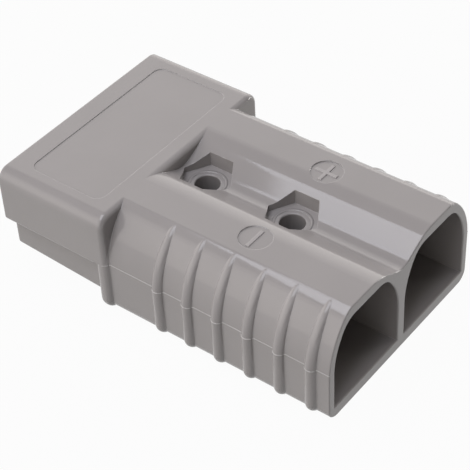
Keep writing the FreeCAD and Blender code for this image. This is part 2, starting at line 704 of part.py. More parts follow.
above_trough = ("sizes.trough_wall_height + 1", size["trough_wall_height"] + 1)
trough_bottom = ("sizes.trough_floor", size["trough_floor"])
trough = add(
    housing,
    "Pocket",
    "trough",
    pole_plate("trough_section", "sizes.lip_wall", "trough_width", trough_bottom, above_trough),
    "sizes.hood_depth - sizes.lip_wall",
    back=True,
)
lip = add(
    housing,
    "Pocket",
    "lip",
    pole_plate("lip_section", "0", "trough_width", ("sizes.lip_height", size["lip_height"]), above_trough),
    "sizes.lip_wall",
    back=True,
)
slot_top = ("sizes.slot_height", size["slot_height"])
slot = add(
    housing,
    "Pocket",
    "blade_slot",
    pole_plate("blade_slot_section", "sizes.chamber_front", "chamber_width", trough_bottom, slot_top),
    "sizes.bulkhead_wall",
)
chamber = add(
    housing,
    "Pocket",
    "barrel_chamber",
    chamber_section(),
    "sizes.chamber_length",
)
port = add(housing, "Pocket", "cable_port", port_section(), "sizes.port_depth")
mirror_sides(housing, "both_poles", [trough, lip, slot, chamber, port])


def bolt_places():
    """Setbacks of the two mounting holes from the mating face."""
    return (
        (f"{FRONT} + sizes.bolt_first", front + size["bolt_first"]),
        (f"{FRONT} + sizes.bolt_first + sizes.bolt_pitch", front + size["bolt_first"] + size["bolt_pitch"]),
    )


def nut_pocket_outline():
    """Two hexagons with a pair of flats along the connector."""
    outline = Outline(housing, "nut_pocket_outline", "XY_Plane", "sizes.nut_pocket_floor")
    flats = size["nut_pocket_flats"]
    for place, centre in bolt_places():
        corners = []
        for turn in range(6):
            angle = math.radians(60 * turn)
            reach = flats / math.sqrt(3)
            corners.append((centre + reach * math.cos(angle), reach * math.sin(angle)))
        sides = []
        for start, end in zip(corners, corners[1:] + corners[:1]):
            sides.append(outline.line(start, end))
        outline.close()
        for turn, edge in enumerate(sides):
            x = f"{place} + sizes.nut_pocket_flats / sqrt(3) * cos({60 * turn})"
            y = "0" if turn % 3 == 0 else f"sizes.nut_pocket_flats / sqrt(3) * sin({60 * turn})"
            outline.hold(edge, 1, x, y)
    return outline


add(housing, "Pocket", "nut_pockets", nut_pocket_outline(), "sizes.total_height", back=True)

bolt_outline = Outline(housing, "bolt_hole_outline", "XY_Plane")
for place, centre in bolt_places():
    bolt_outline.circle(place, "0", "sizes.bolt_hole_width", (centre, 0.0, size["bolt_hole_width"] / 2))
add(housing, "Pocket", "bolt_holes", bolt_outline, back=True)

disc_outline = Outline(housing, "disc_outline", "XY_Plane", "sizes.total_height - sizes.disc_depth")
disc_place, disc_centre = bolt_places()[1]
for sign in (1, -1):
    disc_outline.circle(
        disc_place, f"{sign} * {POLE}", "sizes.disc_width", (disc_centre, sign * pole, size["disc_width"] / 2)
    )
add(housing, "Pocket", "polarity_discs", disc_outline, "sizes.total_height", back=True)

label_outline = Outline(housing, "label_outline", "XY_Plane", "sizes.total_height - sizes.label_depth")
label_front = front + size["label_setback"]
label_outline.plate(
    (f"{FRONT} + sizes.label_setback", f"{FRONT} + sizes.label_setback + sizes.label_length"),
    (f"-{half_of('label_width')}", half_of("label_width")),
    (label_front, -size["label_width"] / 2, label_front + size["label_length"], size["label_width"] / 2),
    "label_corner",
    "label_corner",
)
add(housing, "Pocket", "label_recess", label_outline, "sizes.total_height", back=True)


def furthest(box):
    """How far from the centre plane a box reaches."""
    return max(abs(box.YMin), abs(box.YMax))


def at_plane(box, place):
    return near(box.XMin, place) and near(box.XMax, place)


def hood_mouth(box):
    """Edges along the outside of the hood's front."""
    outside = near(furthest(box), size["hood_width"] / 2) or near(box.ZMax, size["total_height"])
    return at_plane(box, front) and outside and box.ZMax > size["hood_edge_height"] + 1


def collar_front(box):
    """Edges along the outside of the collar's front, below the hood."""
    outside = near(furthest(box), size["hood_width"] / 2) or near(box.ZMax, 0)
    return at_plane(box, front + size["insertion_depth"]) and outside and (box.ZLength > 1 or near(box.ZMax, 0))


def port_mouth(box):
    """Edges of the two cable ports at the cable end."""
    closest = min(abs(box.YMin), abs(box.YMax)) > size["web_wall"] / 2 - 0.05
    inside = furthest(box) < pole + size["port_width"] / 2 + 0.05
    below = box.ZMax < size["port_roof_height"] + 0.05
    return at_plane(box, rear) and closest and inside and below


def hole_rim(box):
    """The round edges of the mounting holes."""
    round_edge = near(box.XLength, size["bolt_hole_width"]) and near(box.YLength, size["bolt_hole_width"])
    return round_edge and near(box.ZLength, 0)


round_edges(housing, "hood_front_edge", "sizes.mouth_edge", hood_mouth)
round_edges(housing, "collar_front_edge", "sizes.collar_corner", collar_front)
round_edges(housing, "port_rims", "sizes.port_edge", port_mouth)
round_edges(housing, "bolt_hole_edges", "sizes.hole_edge", hole_rim)

both_rows(rib("rib", "sizes.rib_first", front + size["rib_first"]))
collar_flank = rib(
    "collar_flank",
    "sizes.hood_length - sizes.hood_rear_rounding",
    hood_rear - size["hood_rear_rounding"],
    rear_only=True,
)
mirror_sides(housing, "both_collar_flanks", [collar_flank])


def side_outline(body, name, pole_place):
    """An outline along the connector, on the plane through a pole's centre line."""
    return Outline(body, name, "XZ_Plane", f"-({pole_place})")


def blade_outline(body, name, pole_place):
    """The blade from the side: rolled tip, catch on the upper face, root in the barrel."""
    face = size["blade_face_height"]
    thick = size["blade_thickness"]
    nose = size["nose_radius"]
    tip = front + size["blade_setback"]
    bend = (tip + nose, face - nose)
    crest = front + size["catch_setback"]
    high = size["catch_height"]
    top = size["catch_radius"]
    root = size["catch_root_radius"]
    swing = math.sqrt((top + root) ** 2 - (top + root - high) ** 2)
    crest_centre = (crest, face + high - top)
    front_root = (crest - swing, face + root)
    rear_root = (crest + swing, face + root)
    end = front + size["barrel_front"] + size["blade_root"]
    outline = side_outline(body, name, pole_place)
    outer = outline.arc(bend, (tip, face - nose), (tip + nose, face), -1)
    outline.line((tip + nose, face), (front_root[0], face), "Horizontal")
    rise = along_from(front_root, root, crest_centre)
    fall = along_from(rear_root, root, crest_centre)
    first = outline.arc(front_root, (front_root[0], face), rise, 1)
    crown = outline.arc(crest_centre, rise, fall, -1)
    second = outline.arc(rear_root, fall, (rear_root[0], face), 1)
    land = outline.line((rear_root[0], face), (end, face), "Horizontal")
    outline.line((end, face), (end, face - thick), "Vertical")
    under = outline.line((end, face - thick), (tip + nose, face - thick), "Horizontal")
    inner = outline.arc(bend, (tip + nose, face - thick), (tip + thick, face - nose), 1)
    outline.break_smooth()
    end_face = outline.line((tip + thick, face - nose), (tip, face - nose), "Horizontal")
    outline.close()
    outline.hold(end_face, 1, None, "sizes.blade_face_height - sizes.nose_radius")
    centre = f"{FRONT} + sizes.blade_setback + sizes.nose_radius"
    outline.hold(outer, 3, centre, "sizes.blade_face_height - sizes.nose_radius")
    outline.radius(outer, "sizes.nose_radius")
    outline.hold(inner, 3, centre)
    outline.hold(under, 1, None, "sizes.blade_face_height - sizes.blade_thickness")
    outline.radius(inner, "sizes.nose_radius - sizes.blade_thickness")
    for hollow in (first, second):
        outline.radius(hollow, "sizes.catch_root_radius")
    outline.radius(crown, "sizes.catch_radius")
    outline.hold(
        crown,
        3,
        f"{FRONT} + sizes.catch_setback",
        "sizes.blade_face_height + sizes.catch_height - sizes.catch_radius",
    )
    outline.hold(land, 2, f"{FRONT} + sizes.barrel_front + sizes.blade_root")
    outline.hold(land, 1, None, "sizes.blade_face_height")
    return outline


def ring(body, name, setback, pole_place, pole_guess, diameter):
    """A circle about a barrel's centre line, at a distance from the mating face."""
    outline = Outline(body, name, "YZ_Plane", f"{FRONT} + {setback}")
    guess = (pole_guess, size["barrel_height"], size[diameter] / 2)
    outline.circle(pole_place, "sizes.barrel_height", f"sizes.{diameter}", guess)
    return outline


def contact(name, side):
    """A silver-plated contact: crimp barrel, and a blade with a rolled tip."""
    body = new_body(name)
    place = f"{side} * {POLE}"
    closed = front + size["barrel_front"]
    mouth = closed + size["barrel_length"]
    barrel = ring(body, f"{name}_barrel_section", "sizes.barrel_front", place, side * pole, "barrel_width")
    add(body, "Pad", f"{name}_barrel", barrel, "sizes.barrel_length")
    bevel_edges(body, f"{name}_shoulder", "sizes.barrel_shoulder", closed)
    bore_place = "sizes.barrel_front + sizes.barrel_length"
    bore = ring(body, f"{name}_bore_section", bore_place, place, side * pole, "barrel_bore")
    add(body, "Pocket", f"{name}_bore", bore, "sizes.barrel_bore_depth")
    bevel_edges(body, f"{name}_lead_in", "sizes.barrel_lead_in", mouth, size["barrel_bore"])
    outline = blade_outline(body, f"{name}_blade_outline", place)
    blade = add(body, "Pad", f"{name}_blade", outline, "sizes.blade_width")
    blade.SideType = "Symmetric"
    doc.recompute()
    return body


def bevel_edges(body, name, expression, place, width=None):
    """Bevel the round edges of the tip at one place along the connector."""
    base = body.Tip
    picked = []
    for index, edge in enumerate(base.Shape.Edges, 1):
        box = edge.BoundBox
        flat = near(box.XMin, place) and near(box.XMax, place)
        if flat and (width is None or near(box.YLength, width)):
            picked.append(f"Edge{index}")
    if not picked:
        raise RuntimeError(f"{name} found no edge")
    bevel = body.newObject("PartDesign::Chamfer", name)
    bevel.Base = (base, picked)
    bevel.setExpression("Size", expression)
    body.Tip = bevel
    doc.recompute()


def spring(name, side):
    """A stainless leaf spring: a bow between two flat feet, under the blade."""
    body = new_body(name)
    place = f"{side} * {POLE}"
    strip = size["spring_thickness"]
    start = front + size["spring_front"]
    foot = size["spring_foot"]
    bend = size["spring_foot_bend"]
    middle = start + size["spring_length"] / 2
    low = size["trough_floor"] + strip / 2
    high = size["blade_face_height"] - size["blade_thickness"] - size["seat_gap"] - strip / 2
    half_span = size["spring_length"] / 2 - foot
    rise = high - low
    bow = (half_span ** 2 + rise ** 2 - 2 * rise * bend) / (2 * rise)
    front_bend = (start + foot, low + bend)
    rear_bend = (2 * middle - start - foot, low + bend)
    bow_centre = (middle, high - bow)
    path = side_outline(body, f"{name}_path", place)
    front_foot = path.line((start, low), (start + foot, low), "Horizontal")
    rise_point = along_from(front_bend, bend, bow_centre)
    fall_point = along_from(rear_bend, bend, bow_centre)
    up = path.arc(front_bend, (start + foot, low), rise_point, 1)
    crown = path.arc(bow_centre, rise_point, fall_point, -1)
    down = path.arc(rear_bend, fall_point, (rear_bend[0], low), 1)
    rear_foot = path.line((rear_bend[0], low), (rear_bend[0] + foot, low), "Horizontal")
    level = f"sizes.trough_floor + {half_of('spring_thickness')}"
    path.hold(front_foot, 1, f"{FRONT} + sizes.spring_front", level)
    path.hold(front_foot, 2, f"{FRONT} + sizes.spring_front + sizes.spring_foot")
    path.radius(up, "sizes.spring_foot_bend")
    path.radius(down, "sizes.spring_foot_bend")
    path.hold(crown, 3, f"{FRONT} + sizes.spring_front + {half_of('spring_length')}")
    path.hold(rear_foot, 1, f"{FRONT} + sizes.spring_front + sizes.spring_length - sizes.spring_foot")
    path.hold(rear_foot, 2, f"{FRONT} + sizes.spring_front + sizes.spring_length")
    top = f"sizes.blade_face_height - sizes.blade_thickness - sizes.seat_gap - ({level})"
    path.radius(crown, bow_radius(f"({top} - {half_of('spring_thickness')})"))
    section = Outline(body, f"{name}_section", "YZ_Plane", f"{FRONT} + sizes.spring_front")
    wide = size["spring_width"] / 2
    section.plate(
        (f"{place} - {half_of('spring_width')}", f"{place} + {half_of('spring_width')}"),
        ("sizes.trough_floor", "sizes.trough_floor + sizes.spring_thickness"),
        (side * pole - wide, size["trough_floor"], side * pole + wide, size["trough_floor"] + strip),
    )
    doc.recompute()
    sweep = body.newObject("PartDesign::AdditivePipe", f"{name}_strip")
    sweep.Profile = section.sketch
    sweep.Spine = (path.sketch, [])
    doc.recompute()
    return body


def bow_radius(rise):
    """Radius of the bow that rises so far between two foot bends."""
    span = f"({half_of('spring_length')} - sizes.spring_foot)"
    return f"({span} ^ 2 + {rise} ^ 2 - 2 * {rise} * sizes.spring_foot_bend) / (2 * {rise})"


pieces = {
    "housing": housing,
    "contact_positive": contact("contact_positive", 1),
    "contact_negative": contact("contact_negative", -1),
    "spring_positive": spring("spring_positive", 1),
    "spring_negative": spring("spring_negative", -1),
}

doc.recompute()
for feature in doc.Objects:
    if "Invalid" in feature.State or "Error" in feature.State:
        raise RuntimeError(f"{feature.Name} is {feature.getStatusString()}")
os.makedirs("parts", exist_ok=True)
for name, body in pieces.items():
    if not body.Shape.isValid() or len(body.Shape.Solids) != 1:
        raise RuntimeError(f"{name} is not one valid solid")
    body.Shape.exportStep(f"parts/{name}.step")
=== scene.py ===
"""Finishes a genderless battery connector: moulded housing, silver-plated contacts, marks and a studio.

Metres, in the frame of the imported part: X to the cable end, +Y to the positive pole, Z up.
"""

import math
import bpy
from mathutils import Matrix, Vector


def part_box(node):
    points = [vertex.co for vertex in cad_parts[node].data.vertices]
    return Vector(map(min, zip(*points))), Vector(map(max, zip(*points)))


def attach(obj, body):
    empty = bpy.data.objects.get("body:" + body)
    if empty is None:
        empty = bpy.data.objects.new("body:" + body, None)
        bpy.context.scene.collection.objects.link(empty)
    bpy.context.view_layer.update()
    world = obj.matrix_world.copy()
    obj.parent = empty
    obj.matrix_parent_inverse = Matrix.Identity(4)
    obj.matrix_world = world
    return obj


bl_info = {
    "name": "Genderless battery connector",
    "version": (1, 0, 0),
    "blender": (4, 5, 0),
    "location": "View3D > Sidebar > Connector",
    "description": "Moulded housing, contacts, polarity marks and a plain studio for a battery connector",
    "category": "Object",
}

import bmesh
import bpy
from bpy.props import FloatProperty, FloatVectorProperty, PointerProperty
from mathutils import Matrix, Vector

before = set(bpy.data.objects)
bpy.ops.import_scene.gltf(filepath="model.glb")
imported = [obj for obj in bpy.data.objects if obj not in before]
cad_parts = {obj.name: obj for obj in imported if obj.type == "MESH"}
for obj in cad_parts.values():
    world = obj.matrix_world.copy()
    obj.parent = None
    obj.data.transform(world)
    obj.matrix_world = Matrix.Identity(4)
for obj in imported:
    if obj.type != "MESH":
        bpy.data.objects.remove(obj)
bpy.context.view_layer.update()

MM = 0.001
HOUSING_LOW, HOUSING_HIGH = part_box("housing")
MATING_FACE = HOUSING_LOW.x
TOP_HEIGHT = HOUSING_HIGH.z

# Mesh work: SUNK is how deep a raised piece reaches into the housing, FACING is the cosine above which a
# face counts as facing a way, and SHARP_TURN is the angle above which an edge counts as sharp
TOUCH = 0.001 * MM
CUT_TOLERANCE = TOUCH / 10
SUNK = 0.05 * MM
FACING = 0.9
SHARP_TURN = 1.0

# Raised bars: both marks sit a little to the negative side of their pole's centre line
MARK_SHIFT = 0.3 * MM
RIM_SHARE = 0.15
RIM_SEGMENTS = 3

# Traces of the mould
BEAD_ROOT = 10 * TOUCH
FILM_REAR_GAP = 1.2 * MM
FILM_FRONT_GAP = 0.8 * MM
FILM_DROP = 0.14 * MM
FILM_INSET = 0.12 * MM
FILM_CLEARANCE = 20 * TOUCH
RING_STEPS = 96

# Noises: a scale over coordinates in metres and a detail; the middle is the range they mostly stay in
NOISE_MIDDLE = (0.3, 0.7)
CLOUD_NOISE = (45.0, 3.0)
GRAIN_NOISE = (900.0, 3.0)
WAVE_NOISE = (90.0, 1.0)
TARNISH_NOISE = (120.0, 3.0)

# Plastic: a bump is a strength and a distance, the gloss drifts between two shares of the roughness, and
# the painted highlight along sharp edges fades between the two cosines of EDGE_TURN
PLASTIC_IOR = 1.5
CLOUD_DEPTH = 0.025
PLASTIC_GLOSS = (0.75, 1.3)
GRAIN_BUMP = (0.08, 0.05 * MM)
WAVE_BUMP = (0.2, 0.1 * MM)
EDGE_SAMPLES = 6
EDGE_TURN = (0.8, 0.99)
# A share and a colour of painted highlight along sharp edges, laid over the plastic's own colour
EDGE_HIGHLIGHT_SHARE = 0.8
EDGE_HIGHLIGHT_COLOUR = (0.50, 0.48, 0.47)
# A paler colour for the raised marks: a painted highlight on the bars
MARK_HIGHLIGHT_COLOUR = (0.36, 0.338, 0.33)
MARK_ROUGHNESS = 0.2
# Flash is a real trace of the mould; its paler colour is a painted highlight along the parting line
FLASH_HIGHLIGHT_COLOUR = (0.47, 0.45, 0.44)
FLASH_ROUGHNESS = 0.35

# Metal: the noise of the drawn lines is stretched along the connector
SILVER_COLOUR = (0.62, 0.61, 0.59)
STEEL_COLOUR = (0.46, 0.46, 0.47)
METAL_ROUGHNESS = 0.34
METAL_GLOSS = (0.8, 1.25)
TARNISH = (0.9, 0.87, 0.82)
DRAWN_LINES = (60.0, 3000.0, 3000.0)
DRAWN_BUMP = (0.15, 0.03 * MM)

# Floor and surroundings: a sky level is a height, 0 at the horizon and 1 straight up, and a brightness;
# SKY_TURN is the range toward the cable end over which the surroundings go dim
FLOOR_SIZE = 3.0
FLOOR_GAP = 0.2 * MM
FLOOR_ROUGHNESS = 0.6
FLOOR_WHITE = 0.96
SKY_TINT = (1.0, 0.965, 0.93)
SKY_LEVELS = (
    (0.0, 0.9),
    (0.3, 0.95),
    (0.5, 0.85),
    (0.66, 0.52),
    (0.76, 0.06),
    (0.86, 0.03),
    (1.0, 0.1),
)
SKY_TURN = (0.15, 0.6)
SKY_BRIGHT_SIDE = 1.8
SKY_CABLE_SIDE = 0.02

# Lamps: the edges of the overhead softbox show as the edges of the bright patches on the arches, and the
# far one lights the cable end's face past the walls of the ports
OVERHEAD_SIZE = (0.69, 0.86)
OVERHEAD_COLOUR = (0.96, 0.98, 1.07)
OVERHEAD_PLACE = Vector((-0.093, -0.33, 0.93))
OVERHEAD_TURN = math.radians(9.0)
FAR_SIZE = (0.5, 0.2)
FAR_COLOUR = (1.0, 0.98, 0.95)
FAR_PLACE = Vector((0.5, 0.8, 0.13))
FAR_TARGET = Vector((HOUSING_HIGH.x, 0.0, 15.0 * MM))

# Camera, from the fit to the photograph
CAMERA_LENS = 121.10
CAMERA_SENSOR = 36.0
CAMERA_CLIP = (0.05, 20.0)
CAMERA_POINT = Vector((208.14, -253.33, 304.48)) * MM
CAMERA_AZIMUTH = math.radians(39.421)
CAMERA_ELEVATION = math.radians(41.711)
CAMERA_ROLL = math.radians(-3.261)


class HousingFinish(bpy.types.PropertyGroup):
    """The plastic of the housing"""

    colour: FloatVectorProperty(
        name="Colour",
        description="Warm grey of the moulding",
        subtype="COLOR",
        size=3,
        min=0.0,
        max=1.0,
        default=(0.310, 0.290, 0.282),
    )
    roughness: FloatProperty(
        name="Roughness",
        description="How far the gloss of the moulding is spread",
        subtype="FACTOR",
        min=0.0,
        max=1.0,
        default=0.08,
    )
    # The radius of the rounded shading at sharp edges, and of the painted highlight along them
    edge_softness: FloatProperty(
        name="Edge softness",
        description="Radius to which the moulding's sharp edges look worn",
        subtype="DISTANCE",
        unit="LENGTH",
        default=0.26 * MM,
    )


class PolarityMarks(bpy.types.PropertyGroup):
    """The raised plus and minus in the polarity discs"""

    disc_setback: FloatProperty(
        name="Disc setback",
        description="Mating face to the centre of the polarity discs",
        subtype="DISTANCE",
        unit="LENGTH",
        default=74.5 * MM,
    )
    pole_offset: FloatProperty(
        name="Pole offset",
        description="Centre plane to the centre line of a pole",
        subtype="DISTANCE",
        unit="LENGTH",
        default=16.1 * MM,
    )
    bar_width: FloatProperty(
        name="Bar width",
        description="Width of the raised bars of the polarity marks",
        subtype="DISTANCE",
        unit="LENGTH",
        default=1.15 * MM,
    )
    bar_length: FloatProperty(
        name="Bar length",
        description="Length of the raised bars of the polarity marks",
        subtype="DISTANCE",
        unit="LENGTH",
        default=7.0 * MM,
    )
    bar_height: FloatProperty(
        name="Bar height",
        description="Height of the bars over the floor of their disc",
        subtype="DISTANCE",
        unit="LENGTH",
        default=0.3 * MM,
    )
    disc_depth: FloatProperty(
        name="Disc depth",
        description="Depth of the polarity discs in the top",
        subtype="DISTANCE",
        unit="LENGTH",
        default=0.35 * MM,
    )


class MouldTraces(bpy.types.PropertyGroup):
    """The fine lines and rings that the mould leaves on the housing"""

    parting_height: FloatProperty(
        name="Parting height",
        description="Underside to the line where the mould's halves meet",
        subtype="DISTANCE",
        unit="LENGTH",
        default=17.0 * MM,
    )
    parting_setback: FloatProperty(
        name="Parting setback",
        description="Mating face to the front end of the line on the collar",
        subtype="DISTANCE",
        unit="LENGTH",
        default=34.2 * MM,
    )
    bead_width: FloatProperty(
        name="Bead width",
        description="Width of the bead along the parting line",
        subtype="DISTANCE",
        unit="LENGTH",
        default=0.3 * MM,
    )
    bead_height: FloatProperty(
        name="Bead height",
        description="How far the bead stands out from the sides",
        subtype="DISTANCE",
        unit="LENGTH",
        default=0.09 * MM,
    )
    side_reach: FloatProperty(
        name="Side reach",
        description="Centre plane to just inside the outer sides",
        subtype="DISTANCE",
        unit="LENGTH",
        default=32.4 * MM,
    )
    ring_inner: FloatProperty(
        name="Ring's inner radius",
        description="Inner radius of the faint ring on the floor of a nut pocket",
        subtype="DISTANCE",
        unit="LENGTH",
        default=4.7 * MM,
    )
    ring_outer: FloatProperty(
        name="Ring's outer radius",
        description="Outer radius of the faint ring on the floor of a nut pocket",
        subtype="DISTANCE",
        unit="LENGTH",
        default=5.7 * MM,
    )
    ring_height: FloatProperty(
        name="Ring height",
        description="Height of the faint ring over the floor of a nut pocket",
        subtype="DISTANCE",
        unit="LENGTH",
        default=0.1 * MM,
    )
    pocket_depth: FloatProperty(
        name="Pocket depth",
        description="Top of the arches to the floor of a nut pocket",
        subtype="DISTANCE",
        unit="LENGTH",
        default=6.6 * MM,
    )
    hole_pitch: FloatProperty(
        name="Hole pitch",
        description="Distance between the mounting holes",
        subtype="DISTANCE",
        unit="LENGTH",
        default=28.7 * MM,
    )


class StudioStage(bpy.types.PropertyGroup):
    """The lamps and the floor of the studio"""

    lamp_power: FloatProperty(
        name="Lamp power",
        description="Power of the softbox over the connector",
        subtype="POWER",
        unit="POWER",
        default=6.7,
    )
    far_power: FloatProperty(
        name="Far lamp power",
        description="Power of the low softbox beyond the positive pole",
        subtype="POWER",
        unit="POWER",
        default=2.9,
    )
    floor_colour: FloatVectorProperty(
        name="Floor colour",
        description="Floor under the connector, as the light on the connector meets it",
        subtype="COLOR",
        size=3,
        min=0.0,
        max=1.0,
        default=(0.3, 0.3, 0.3),
    )


def settings():
    """The sizes and colours that the panel shows."""
    return bpy.context.scene.connector


def settle(elements, place):
    """Put a mesh's elements in the order of their places, because a merge can leave them in any order."""
    for index, element in enumerate(sorted(elements, key=place)):
        element.index = index
    elements.sort()


def new_piece(name, mesh_builder, material):
    """A mesh object from a function that fills a bmesh."""
    mesh = bpy.data.meshes.new(name)
    shape = bmesh.new()
    mesh_builder(shape)
    bmesh.ops.recalc_face_normals(shape, faces=shape.faces)
    settle(shape.verts, lambda vert: tuple(vert.co))
    settle(shape.faces, lambda face: tuple(face.calc_center_median()))
    shape.to_mesh(mesh)
    shape.free()
    piece = bpy.data.objects.new(name, mesh)
    bpy.context.scene.collection.objects.link(piece)
    piece.data.materials.append(material)
    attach(piece, "root")
    return piece


def new_material(name):
    """A material with the nodes, links and shader of its tree."""
    material = bpy.data.materials.new(name)
    material.use_nodes = True
    nodes = material.node_tree.nodes
    return material, nodes, material.node_tree.links, nodes["Principled BSDF"]


def map_range(nodes, links, source, span, low, high):
    """A value whose span is spread over the range from low to high."""
    spread = nodes.new("ShaderNodeMapRange")
    limits = {"From Min": span[0], "From Max": span[1], "To Min": low, "To Max": high}
    for name, limit in limits.items():
        spread.inputs[name].default_value = limit
    links.new(source, spread.inputs["Value"])
    return spread.outputs["Result"]


def noise_texture(nodes, links, place, scale, detail):
    """A noise over the object's own coordinates."""
    noise = nodes.new("ShaderNodeTexNoise")
    noise.inputs["Scale"].default_value = scale
    noise.inputs["Detail"].default_value = detail
    links.new(place.outputs["Object"], noise.inputs["Vector"])
    return noise.outputs["Fac"]


def uneven_gloss(nodes, links, clouds, roughness, shares):
    """A roughness that drifts with the clouds between two shares of itself."""
    smoothest, roughest = shares
    return map_range(nodes, links, clouds, NOISE_MIDDLE, roughness * smoothest, roughness * roughest)


def drifting_colour(nodes, links, clouds, colours):
    """A colour that drifts with the clouds from the first of two to the second."""
    ramp = nodes.new("ShaderNodeValToRGB")
    for element, colour in zip(ramp.color_ramp.elements, colours):
        element.color = (*colour, 1.0)
    links.new(map_range(nodes, links, clouds, NOISE_MIDDLE, 0.0, 1.0), ramp.inputs["Fac"])
    return ramp.outputs["Color"]


def bumped(nodes, links, height, bump, normal=None):
    """A normal that a height tilts, on top of another normal where there is one."""
    tilt = nodes.new("ShaderNodeBump")
    strength, distance = bump
    tilt.inputs["Strength"].default_value = strength
    tilt.inputs["Distance"].default_value = distance
    links.new(height, tilt.inputs["Height"])
    if normal:
        links.new(normal, tilt.inputs["Normal"])
    return tilt.outputs["Normal"]


def edge_highlight_share(nodes, links, rounded):
    """The share of painted highlight near a sharp edge: the turn between the rounded and the plain normal.
    """
    plain = nodes.new("ShaderNodeNewGeometry")
    turn = nodes.new("ShaderNodeVectorMath")
    turn.operation = "DOT_PRODUCT"
    links.new(rounded, turn.inputs[0])
    links.new(plain.outputs["Normal"], turn.inputs[1])
    return map_range(nodes, links, turn.outputs["Value"], EDGE_TURN, EDGE_HIGHLIGHT_SHARE, 0.0)


def edge_highlit_colour(nodes, links, body_colour, highlight_share):
    """The body's colour, paler along sharp edges as a painted highlight."""
    mix = nodes.new("ShaderNodeMix")
    mix.data_type = "RGBA"
    sockets = {socket.identifier: socket for socket in (*mix.inputs, *mix.outputs)}
    links.new(highlight_share, sockets["Factor_Float"])
    links.new(body_colour, sockets["A_Color"])
    sockets["B_Color"].default_value = (*EDGE_HIGHLIGHT_COLOUR, 1.0)
    return sockets["Result_Color"]


def grained_plastic(name, colour, roughness, softness):
    """Grey moulded plastic: soft uneven gloss, a trace of grain, slow waves and painted edge highlights.
    """
    existing = bpy.data.materials.get(name)
    if existing:
        return existing
    material, nodes, links, shader = new_material(name)
    shader.inputs["IOR"].default_value = PLASTIC_IOR
    place = nodes.new("ShaderNodeTexCoord")
    clouds = noise_texture(nodes, links, place, *CLOUD_NOISE)
    grain = noise_texture(nodes, links, place, *GRAIN_NOISE)
    waves = noise_texture(nodes, links, place, *WAVE_NOISE)
    edges = nodes.new("ShaderNodeBevel")
    edges.samples = EDGE_SAMPLES
    edges.inputs["Radius"].default_value = softness
    rounded = edges.outputs["Normal"]
    shades = [[channel * share for channel in colour] for share in (1.0 - CLOUD_DEPTH, 1.0 + CLOUD_DEPTH)]
    body_colour = drifting_colour(nodes, links, clouds, shades)
    # Paler colour along sharp edges: a painted highlight
    highlight_share = edge_highlight_share(nodes, links, rounded)
    links.new(edge_highlit_colour(nodes, links, body_colour, highlight_share), shader.inputs["Base Color"])
    links.new(uneven_gloss(nodes, links, clouds, roughness, PLASTIC_GLOSS), shader.inputs["Roughness"])
    grained = bumped(nodes, links, grain, GRAIN_BUMP, rounded)
    links.new(bumped(nodes, links, waves, WAVE_BUMP, grained), shader.inputs["Normal"])
    return material


def moulded_plastic():
    """The plastic of the housing."""
    finish = settings().housing
    return grained_plastic("moulded_plastic", tuple(finish.colour), finish.roughness, finish.edge_softness)


def highlit_mark_plastic():
    """The plastic of raised marks, painted a little paler as a highlight on the bars."""
    softness = settings().housing.edge_softness / 2
    return grained_plastic("highlit_mark_plastic", MARK_HIGHLIGHT_COLOUR, MARK_ROUGHNESS, softness)


def flash_highlight_plastic():
    """Thin plastic squeezed out between the halves of a mould, painted paler as a highlight."""
    return grained_plastic("flash_highlight_plastic", FLASH_HIGHLIGHT_COLOUR, FLASH_ROUGHNESS, 0.0)


def plated_metal(name, colour, roughness):
    """Bare or plated metal with fine drawn lines along the connector."""
    material, nodes, links, shader = new_material(name)
    shader.inputs["Metallic"].default_value = 1.0
    place = nodes.new("ShaderNodeTexCoord")
    clouds = noise_texture(nodes, links, place, *TARNISH_NOISE)
    tarnished = [channel * share for channel, share in zip(colour, TARNISH)]
    links.new(drifting_colour(nodes, links, clouds, (colour, tarnished)), shader.inputs["Base Color"])
    links.new(uneven_gloss(nodes, links, clouds, roughness, METAL_GLOSS), shader.inputs["Roughness"])
    stretch = nodes.new("ShaderNodeMapping")
    stretch.inputs["Scale"].default_value = DRAWN_LINES
    lines = nodes.new("ShaderNodeTexNoise")
    lines.inputs["Scale"].default_value = 1.0
    links.new(place.outputs["Object"], stretch.inputs["Vector"])
    links.new(stretch.outputs["Vector"], lines.inputs["Vector"])
    links.new(bumped(nodes, links, lines.outputs["Fac"], DRAWN_BUMP), shader.inputs["Normal"])
    return material


def dress(node, material):
    """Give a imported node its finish."""
    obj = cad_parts[node]
    obj.data.materials.clear()
    obj.data.materials.append(material)


class CONNECTOR_OT_housing(bpy.types.Operator):
    """Finish the moulded housing"""

    bl_idname = "connector.housing"
    bl_label = "Housing"

    def execute(self, context):
        dress("housing", moulded_plastic())
        return {"FINISHED"}


class CONNECTOR_OT_contacts(bpy.types.Operator):
    """Finish the contacts and their springs"""

    bl_idname = "connector.contacts"
    bl_label = "Contacts and springs"

    def execute(self, context):
        silver = plated_metal("silver_plate", SILVER_COLOUR, METAL_ROUGHNESS)
        steel = plated_metal("spring_steel", STEEL_COLOUR, METAL_ROUGHNESS)
        for pole in ("positive", "negative"):
            dress(f"contact_{pole}", silver)
            dress(f"spring_{pole}", steel)
        return {"FINISHED"}


def add_block(shape, centre, along, across, low, high):
    """The corners of a new block between two heights."""
    block = bmesh.ops.create_cube(shape, size=1.0)["verts"]
    bmesh.ops.scale(shape, vec=(along, across, high - low), verts=block)
    bmesh.ops.translate(shape, vec=(*centre, (low + high) / 2), verts=block)
    return block


def round_rims(shape, rims, width):
    """Round the given edges of a bar by a share of its width."""
    bmesh.ops.bevel(
        shape,
        geom=rims,
        offset=width * RIM_SHARE,
        segments=RIM_SEGMENTS,
        profile=0.5,
        affect="EDGES",
        material=-1,
    )


def fill_bar(shape, centre, along, across, low, high):
    """A bar with rounded upper rims."""
    block = add_block(shape, centre, along, across, low, high)
    middle = (low + high) / 2
    rims = [
        edge
        for edge in shape.edges
        if edge.verts[0] in block and min(vert.co.z for vert in edge.verts) > middle
    ]
    round_rims(shape, rims, min(along, across))


